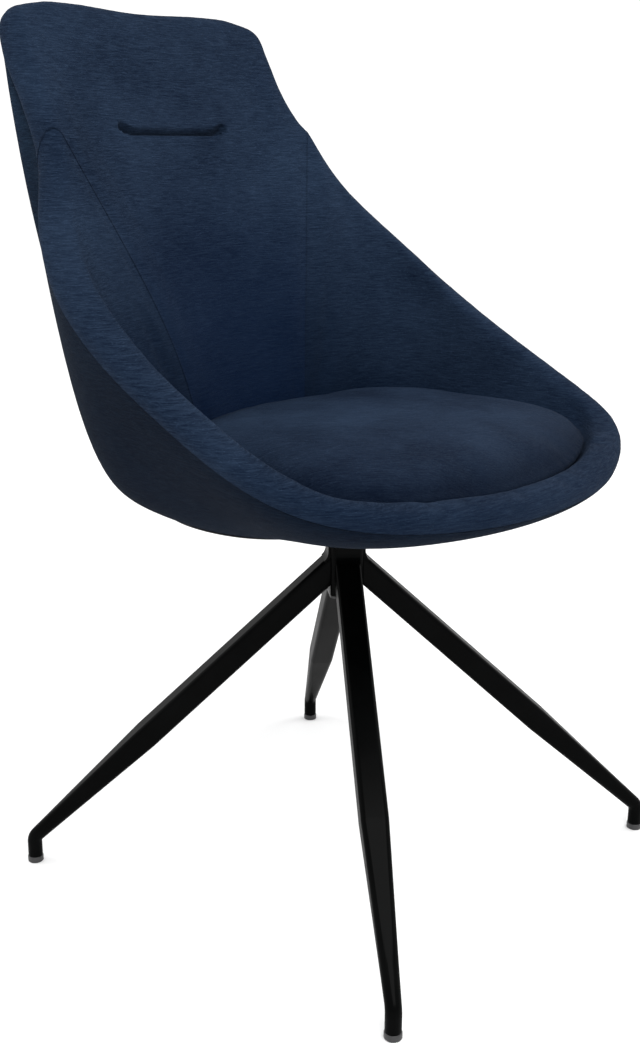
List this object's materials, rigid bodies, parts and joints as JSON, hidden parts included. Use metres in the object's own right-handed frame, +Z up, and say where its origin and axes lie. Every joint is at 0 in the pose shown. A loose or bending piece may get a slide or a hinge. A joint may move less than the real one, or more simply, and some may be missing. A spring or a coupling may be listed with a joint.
{
  "type": "swivel dining chair",
  "caption": "Dining chair with a padded fabric bucket seat, loose cushion and high back that turns on a steel base with splayed tapered legs.",
  "frame": {"origin": "centre of the bounding box at floor level, so the turning axis stands 26 mm in front of it", "axes": "+Z up, the sitter looks along -Y, the sitter's left hand is at +X"},
  "size_m": [0.5938, 0.5904, 0.9245],
  "materials": {
    "steel": "black powder coat, low sheen",
    "glide_plastic": "matt black",
    "bush_plastic": "natural nylon",
    "bright_steel": "zinc plated",
    "plywood": "raw plywood",
    "shell_plastic": "moulded, matt",
    "cloth": "thin black lining cloth",
    "foam": "foam",
    "fabric": "navy chenille weave"
  },
  "bodies": {
    "base": {"glide_front_left": "glide_plastic", "glide_front_right": "glide_plastic", "glide_rear_left": "glide_plastic", "glide_rear_right": "glide_plastic", "hub_end_cap": "glide_plastic", "hub_tube": "steel", "leg_front_left": "steel", "leg_front_right": "steel", "leg_rear_left": "steel", "leg_rear_right": "steel", "lower_bush": "bush_plastic", "thrust_washer": "bush_plastic", "upper_bush": "bush_plastic"},
    "seat": {"back_pad": "fabric", "bolt_washers": "bright_steel", "mounting_bolts": "bright_steel", "outer_cover": "fabric", "retaining_ring": "bright_steel", "rim_pad": "fabric", "seat_base_pad": "foam", "seat_board": "plywood", "seat_cushion": "fabric", "seat_plate": "steel", "shell_core": "shell_plastic", "spindle_washer": "bright_steel", "swivel_spindle": "bright_steel", "tee_nuts": "bright_steel", "under_cover": "cloth"}
  },
  "joints": [
    {"name": "seat_swivel", "type": "hinge", "parent": "base", "child": "seat", "pos_m": [0, -0.02634, 0.403], "axis": [0, 0, 1], "continuous": true}
  ]
}
